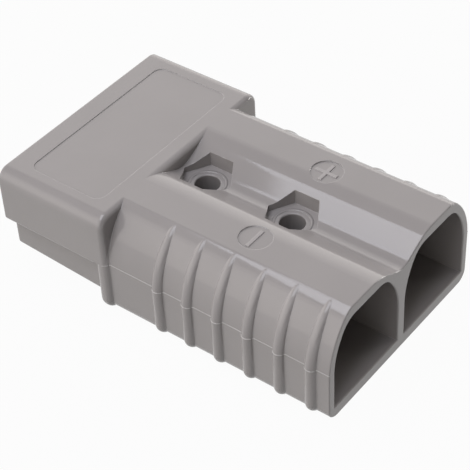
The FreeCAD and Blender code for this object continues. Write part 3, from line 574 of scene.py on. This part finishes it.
def fill_mark(shape, centre, arms, low, high):
    """A raised mark: a small block with an arm drawn out of it in each of the given directions."""
    marks = settings().marks
    width = marks.bar_width
    reach = (marks.bar_length - width) / 2
    add_block(shape, centre, width, width, low, high)
    for arm in arms:
        way = Vector((*arm, 0.0))
        shape.normal_update()
        side = max(
            (face for face in shape.faces if face.normal.dot(way) > FACING),
            key=lambda face: face.calc_center_median().dot(way),
        )
        drawn = bmesh.ops.extrude_discrete_faces(shape, faces=[side])["faces"][0]
        bmesh.ops.translate(shape, vec=way * reach, verts=drawn.verts)
    shape.normal_update()
    middle = (low + high) / 2
    rims = [
        edge
        for edge in shape.edges
        if min(vert.co.z for vert in edge.verts) > middle and edge.calc_face_angle() > SHARP_TURN
    ]
    round_rims(shape, rims, width)


class CONNECTOR_OT_polarity(bpy.types.Operator):
    """Raise the plus and the minus in their discs"""

    bl_idname = "connector.polarity"
    bl_label = "Polarity marks"

    def execute(self, context):
        marks = settings().marks
        x = MATING_FACE + marks.disc_setback
        floor = TOP_HEIGHT - marks.disc_depth
        low = floor - SUNK
        high = floor + marks.bar_height

        def plus(shape):
            y = marks.pole_offset - MARK_SHIFT
            fill_mark(shape, (x, y), ((1, 0), (-1, 0), (0, 1), (0, -1)), low, high)

        def minus(shape):
            y = -marks.pole_offset - MARK_SHIFT
            fill_mark(shape, (x, y), ((0, 1), (0, -1)), low, high)

        # Both marks get the paler material: a painted highlight on the bars
        for name, build in (("plus_mark", plus), ("minus_mark", minus)):
            piece = new_piece(name, build, highlit_mark_plastic())
        return {"FINISHED"}


def parting_bead(shape):
    """A band of the housing's outer sides, cut free at the parting height and raised to a bead."""
    trace = settings().traces
    shape.from_mesh(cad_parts["housing"].data)
    bmesh.ops.remove_doubles(shape, verts=shape.verts, dist=TOUCH)
    level = trace.parting_height
    half = trace.bead_width / 2
    start = MATING_FACE + trace.parting_setback
    for height in (level - half, level, level + half):
        bmesh.ops.bisect_plane(
            shape,
            geom=[*shape.verts, *shape.edges, *shape.faces],
            dist=CUT_TOLERANCE,
            plane_co=(0.0, 0.0, height),
            plane_no=(0.0, 0.0, 1.0),
        )
    rest = []
    for face in shape.faces:
        middle = face.calc_center_median()
        in_band = abs(middle.z - level) < half
        outer_side = abs(middle.y) > trace.side_reach and abs(face.normal.x) < FACING
        if not (in_band and outer_side and middle.x > start):
            rest.append(face)
    bmesh.ops.delete(shape, geom=rest, context="FACES")
    shape.normal_update()
    for vert in shape.verts:
        outward = Vector((vert.normal.x, vert.normal.y, 0.0)).normalized()
        share = 1.0 - abs(vert.co.z - level) / half
        vert.co += outward * (share * trace.bead_height - (1.0 - share) * BEAD_ROOT)
    bmesh.ops.solidify(shape, geom=shape.faces[:], thickness=SUNK)
    for vert in shape.verts:
        vert.co.x = min(HOUSING_HIGH.x, vert.co.x)
        vert.co.y = max(HOUSING_LOW.y, min(HOUSING_HIGH.y, vert.co.y))


def rim_film(shape):
    """Film left along the lower edges of the hood's sides."""
    trace = settings().traces
    rear = MATING_FACE + trace.parting_setback - FILM_REAR_GAP
    front = MATING_FACE + FILM_FRONT_GAP
    top = trace.parting_height + SUNK / 2
    bottom = trace.parting_height - FILM_DROP
    for side in (-1, 1):
        y = side * (HOUSING_HIGH.y - FILM_INSET)
        width = 2 * FILM_INSET - FILM_CLEARANCE
        fill_bar(shape, ((front + rear) / 2, y), rear - front, width, bottom, top)


class CONNECTOR_OT_parting(bpy.types.Operator):
    """Leave the fine line of the mould's parting along the sides and the hood's rim"""

    bl_idname = "connector.parting"
    bl_label = "Parting line"

    def execute(self, context):
        # Both pieces get the paler flash material: a painted highlight along the parting line
        for name, build in (("parting_line", parting_bead), ("hood_rim_film", rim_film)):
            piece = new_piece(name, build, flash_highlight_plastic())
        return {"FINISHED"}


class CONNECTOR_OT_pocket_rings(bpy.types.Operator):
    """Turn the faint rings round the holes in the nut pockets"""

    bl_idname = "connector.pocket_rings"
    bl_label = "Pocket rings"

    def execute(self, context):
        trace = settings().traces
        rear_hole = MATING_FACE + settings().marks.disc_setback
        low = TOP_HEIGHT - trace.pocket_depth - SUNK
        high = low + SUNK + trace.ring_height
        slope = trace.ring_height
        reaches = (
            (trace.ring_inner, low),
            (trace.ring_inner + slope, high),
            (trace.ring_outer - slope, high),
            (trace.ring_outer, low),
        )

        def rings(shape):
            for x in (rear_hole - trace.hole_pitch, rear_hole):
                points = [shape.verts.new((x + reach, 0.0, height)) for reach, height in reaches]
                edges = [shape.edges.new(pair) for pair in zip(points, points[1:] + points[:1])]
                bmesh.ops.spin(
                    shape,
                    geom=points + edges,
                    cent=(x, 0.0, 0.0),
                    axis=(0.0, 0.0, 1.0),
                    dvec=(0.0, 0.0, 0.0),
                    angle=2 * math.pi,
                    steps=RING_STEPS,
                    use_merge=True,
                    use_duplicate=False,
                )

        piece = new_piece("pocket_rings", rings, moulded_plastic())
        for polygon in piece.data.polygons:
            polygon.use_smooth = True
        return {"FINISHED"}


def math_node(nodes, links, operation, first):
    """A math node with its first value linked and its second one left to set."""
    node = nodes.new("ShaderNodeMath")
    node.operation = operation
    links.new(first, node.inputs[0])
    return node


def floor_paint(colour):
    """Pale floor that the camera and reflections see as white, with a trace of the shadow left in it."""
    material, nodes, links, shader = new_material("studio_floor")
    shader.inputs["Base Color"].default_value = (*colour, 1.0)
    shader.inputs["Roughness"].default_value = FLOOR_ROUGHNESS
    white = nodes.new("ShaderNodeEmission")
    path = nodes.new("ShaderNodeLightPath")
    mirrored = math_node(nodes, links, "MAXIMUM", path.outputs["Is Glossy Ray"])
    links.new(path.outputs["Is Transmission Ray"], mirrored.inputs[1])
    seen = math_node(nodes, links, "MAXIMUM", path.outputs["Is Camera Ray"])
    links.new(mirrored.outputs["Value"], seen.inputs[1])
    share = math_node(nodes, links, "MULTIPLY", seen.outputs["Value"])
    share.inputs[1].default_value = FLOOR_WHITE
    mix = nodes.new("ShaderNodeMixShader")
    links.new(share.outputs["Value"], mix.inputs["Fac"])
    links.new(shader.outputs["BSDF"], mix.inputs[1])
    links.new(white.outputs["Emission"], mix.inputs[2])
    links.new(mix.outputs["Shader"], nodes["Material Output"].inputs["Surface"])
    return material


def studio_surroundings():
    """Soft surroundings: pale near the horizon, dim higher up and on the cable side."""
    world = bpy.data.worlds.new("studio_surroundings")
    world.use_nodes = True
    nodes = world.node_tree.nodes
    links = world.node_tree.links
    direction = nodes.new("ShaderNodeTexCoord")
    parts = nodes.new("ShaderNodeSeparateXYZ")
    links.new(direction.outputs["Generated"], parts.inputs["Vector"])
    levels = nodes.new("ShaderNodeValToRGB")
    elements = levels.color_ramp.elements
    for height, _level in SKY_LEVELS[1:-1]:
        elements.new(height)
    for element, (height, level) in zip(elements, SKY_LEVELS):
        element.position = height
        element.color = (*(level * share for share in SKY_TINT), 1.0)
    links.new(parts.outputs["Z"], levels.inputs["Fac"])
    side = map_range(nodes, links, parts.outputs["X"], SKY_TURN, SKY_BRIGHT_SIDE, SKY_CABLE_SIDE)
    background = nodes["Background"]
    links.new(levels.outputs["Color"], background.inputs["Color"])
    links.new(side, background.inputs["Strength"])
    return world


def add_floor(colour):
    """The studio's floor, just under the connector."""
    mesh = bpy.data.meshes.new("studio_floor")
    shape = bmesh.new()
    bmesh.ops.create_grid(shape, x_segments=1, y_segments=1, size=FLOOR_SIZE)
    shape.to_mesh(mesh)
    shape.free()
    floor = bpy.data.objects.new("studio_floor", mesh)
    floor.location.z = HOUSING_LOW.z - FLOOR_GAP
    bpy.context.scene.collection.objects.link(floor)
    floor.data.materials.append(floor_paint(colour))


def softbox(name, size, power, colour, place, target):
    """A rectangular softbox, at a place and turned to a target."""
    lamp = bpy.data.lights.new(name, "AREA")
    lamp.shape = "RECTANGLE"
    lamp.size, lamp.size_y = size
    lamp.energy = power
    lamp.color = colour
    box = bpy.data.objects.new(name, lamp)
    box.location = place
    box.rotation_euler = (target - place).to_track_quat("-Z", "Y").to_euler()
    bpy.context.scene.collection.objects.link(box)
    return box


def camera_place():
    """The camera's place and turn."""
    back = Vector(
        (
            math.sin(CAMERA_AZIMUTH) * math.cos(CAMERA_ELEVATION),
            -math.cos(CAMERA_AZIMUTH) * math.cos(CAMERA_ELEVATION),
            math.sin(CAMERA_ELEVATION),
        )
    )
    right = Vector((math.cos(CAMERA_AZIMUTH), math.sin(CAMERA_AZIMUTH), 0.0))
    up = back.cross(right)
    turned_right = math.cos(CAMERA_ROLL) * right + math.sin(CAMERA_ROLL) * up
    turned_up = math.cos(CAMERA_ROLL) * up - math.sin(CAMERA_ROLL) * right
    turn = Matrix((turned_right, turned_up, back)).transposed().to_4x4()
    return Matrix.Translation(CAMERA_POINT) @ turn


def add_camera():
    """The studio's camera."""
    camera = bpy.data.cameras.new("studio_camera")
    camera.lens = CAMERA_LENS
    camera.sensor_width = CAMERA_SENSOR
    camera.clip_start, camera.clip_end = CAMERA_CLIP
    eye = bpy.data.objects.new("studio_camera", camera)
    eye.matrix_world = camera_place()
    bpy.context.scene.collection.objects.link(eye)
    bpy.context.scene.camera = eye


class CONNECTOR_OT_stage(bpy.types.Operator):
    """Set the floor, the lights and the camera"""

    bl_idname = "connector.stage"
    bl_label = "Studio"

    def execute(self, context):
        stage = settings().stage
        add_floor(stage.floor_colour)
        context.scene.world = studio_surroundings()
        below = Vector((OVERHEAD_PLACE.x, OVERHEAD_PLACE.y, 0.0))
        overhead = softbox(
            "overhead_softbox", OVERHEAD_SIZE, stage.lamp_power, OVERHEAD_COLOUR, OVERHEAD_PLACE, below
        )
        overhead.rotation_euler.z += OVERHEAD_TURN
        softbox("far_softbox", FAR_SIZE, stage.far_power, FAR_COLOUR, FAR_PLACE, FAR_TARGET)
        add_camera()
        context.scene.view_settings.view_transform = "Standard"
        return {"FINISHED"}


class ConnectorSettings(bpy.types.PropertyGroup):
    """All settings of the connector"""

    housing: PointerProperty(type=HousingFinish)
    marks: PointerProperty(type=PolarityMarks)
    traces: PointerProperty(type=MouldTraces)
    stage: PointerProperty(type=StudioStage)


class CONNECTOR_PT_panel(bpy.types.Panel):
    """Lists the pieces of the connector"""

    bl_label = "Battery connector"
    bl_idname = "CONNECTOR_PT_panel"
    bl_space_type = "VIEW_3D"
    bl_region_type = "UI"
    bl_category = "Connector"

    def draw(self, context):
        for operator in OPERATORS:
            self.layout.operator(operator.bl_idname)
        for group in (settings().housing, settings().marks, settings().traces, settings().stage):
            for name in group.__annotations__:
                self.layout.prop(group, name)


OPERATORS = (
    CONNECTOR_OT_housing,
    CONNECTOR_OT_contacts,
    CONNECTOR_OT_polarity,
    CONNECTOR_OT_parting,
    CONNECTOR_OT_pocket_rings,
    CONNECTOR_OT_stage,
)
GROUPS = (HousingFinish, PolarityMarks, MouldTraces, StudioStage, ConnectorSettings)
CLASSES = (*GROUPS, *OPERATORS, CONNECTOR_PT_panel)


def register():
    for cls in CLASSES:
        bpy.utils.register_class(cls)
    bpy.types.Scene.connector = PointerProperty(type=ConnectorSettings)


def unregister():
    del bpy.types.Scene.connector
    for cls in reversed(CLASSES):
        bpy.utils.unregister_class(cls)


def main():
    """Build the scene."""
    register()
    bpy.ops.connector.housing()
    bpy.ops.connector.contacts()
    bpy.ops.connector.polarity()
    bpy.ops.connector.parting()
    bpy.ops.connector.pocket_rings()
    bpy.ops.connector.stage()


if __name__ == "__main__":
    main()
